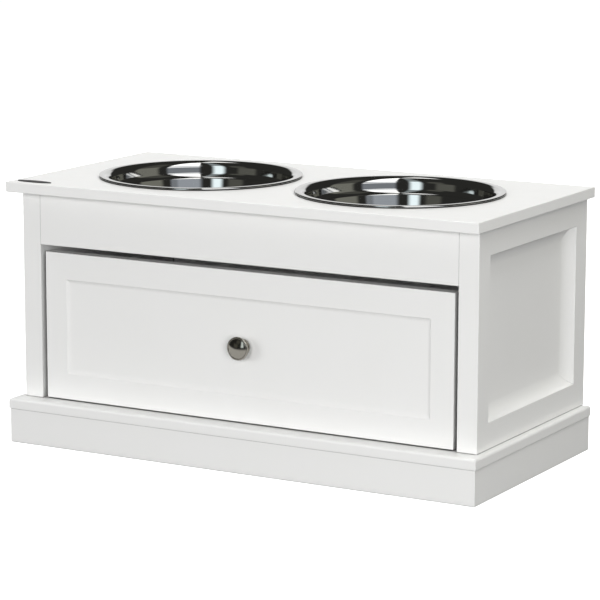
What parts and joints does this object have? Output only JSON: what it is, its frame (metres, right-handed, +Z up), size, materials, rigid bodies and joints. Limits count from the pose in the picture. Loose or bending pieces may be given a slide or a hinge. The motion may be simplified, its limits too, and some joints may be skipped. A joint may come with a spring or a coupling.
{
  "type": "elevated pet feeder with drawer",
  "caption": "Low lacquered cabinet on a plinth that holds lift-out steel feeding bowls in its top board over one wide storage drawer with a round knob.",
  "frame": {"origin": "on the floor, under the middle of the top board", "axes": "+X to the right along the front, +Y towards the back, +Z up"},
  "size_m": [0.6, 0.3, 0.3079],
  "materials": {
    "white_lacquer": "satin white lacquer on medium density fibreboard",
    "white_laminate": "matt white laminate on thin fibreboard",
    "pine_block": "sawn, unfinished softwood",
    "beech_dowel": "fluted beech, unfinished",
    "epoxy_coated_rail": "white epoxy powder coat on rolled steel",
    "nylon_roller": "moulded nylon",
    "polished_stainless": "mirror-polished stainless steel",
    "nickel_knob": "satin nickel, turned",
    "brushed_plate": "fine-brushed aluminium",
    "zinc_fitting": "bright zinc plate"
  },
  "bodies": {
    "cabinet": {"top_board": "white_lacquer", "left_side_panel": "white_lacquer", "right_side_panel": "white_lacquer", "front_apron": "white_lacquer", "back_panel": "white_lacquer", "deck_board": "white_lacquer", "front_plinth_board": "white_lacquer", "rear_plinth_board": "white_lacquer", "left_plinth_board": "white_lacquer", "right_plinth_board": "white_lacquer", "left_front_corner_block": "pine_block", "right_front_corner_block": "pine_block", "left_rear_corner_block": "pine_block", "right_rear_corner_block": "pine_block", "left_cabinet_rail": "epoxy_coated_rail", "right_cabinet_rail": "epoxy_coated_rail", "oval_plate": "brushed_plate", "cabinet_cam_discs": "zinc_fitting", "cabinet_cam_bolts": "zinc_fitting", "cabinet_dowels": "beech_dowel", "deck_screws": "zinc_fitting", "plinth_screws": "zinc_fitting", "cabinet_rail_screws": "zinc_fitting", "cabinet_rail_rivets": "zinc_fitting"},
    "drawer": {"drawer_front": "white_lacquer", "left_drawer_side": "white_lacquer", "right_drawer_side": "white_lacquer", "drawer_back": "white_lacquer", "drawer_bottom": "white_laminate", "left_drawer_rail": "epoxy_coated_rail", "right_drawer_rail": "epoxy_coated_rail", "drawer_cam_discs": "zinc_fitting", "drawer_cam_bolts": "zinc_fitting", "drawer_dowels": "beech_dowel", "drawer_back_screws": "zinc_fitting", "drawer_rail_screws": "zinc_fitting", "drawer_rail_rivets": "zinc_fitting", "knob": "nickel_knob", "knob_screw": "zinc_fitting"},
    "left_bowl": {"left_bowl": "polished_stainless"},
    "right_bowl": {"right_bowl": "polished_stainless"},
    "left_cabinet_roller": {"left_cabinet_roller": "nylon_roller"},
    "right_cabinet_roller": {"right_cabinet_roller": "nylon_roller"},
    "left_drawer_roller": {"left_drawer_roller": "nylon_roller"},
    "right_drawer_roller": {"right_drawer_roller": "nylon_roller"}
  },
  "joints": [
    {"name": "drawer_slide", "type": "slide", "parent": "cabinet", "child": "drawer", "axis": [0, -1, 0], "range_m": [0, 0.18]},
    {"name": "left_bowl_lift", "type": "slide", "parent": "cabinet", "child": "left_bowl", "axis": [0, 0, 1], "range_m": [0, 0.08]},
    {"name": "right_bowl_lift", "type": "slide", "parent": "cabinet", "child": "right_bowl", "axis": [0, 0, 1], "range_m": [0, 0.08]},
    {"name": "left_cabinet_roller_turn", "type": "hinge", "parent": "cabinet", "child": "left_cabinet_roller", "pos_m": [-0.26175, -0.0978, 0.0725], "axis": [1, 0, 0], "continuous": true},
    {"name": "left_drawer_roller_turn", "type": "hinge", "parent": "drawer", "child": "left_drawer_roller", "pos_m": [-0.25955, 0.117, 0.0735], "axis": [1, 0, 0], "continuous": true},
    {"name": "right_cabinet_roller_turn", "type": "hinge", "parent": "cabinet", "child": "right_cabinet_roller", "pos_m": [0.26175, -0.0978, 0.0725], "axis": [1, 0, 0], "continuous": true},
    {"name": "right_drawer_roller_turn", "type": "hinge", "parent": "drawer", "child": "right_drawer_roller", "pos_m": [0.25955, 0.117, 0.0735], "axis": [1, 0, 0], "continuous": true}
  ],
  "couplings": [
    {"joint": "left_cabinet_roller_turn", "follows": "drawer_slide", "rad_per_m": 111.11},
    {"joint": "left_drawer_roller_turn", "follows": "drawer_slide", "rad_per_m": 100},
    {"joint": "right_cabinet_roller_turn", "follows": "drawer_slide", "rad_per_m": 111.11},
    {"joint": "right_drawer_roller_turn", "follows": "drawer_slide", "rad_per_m": 100}
  ]
}
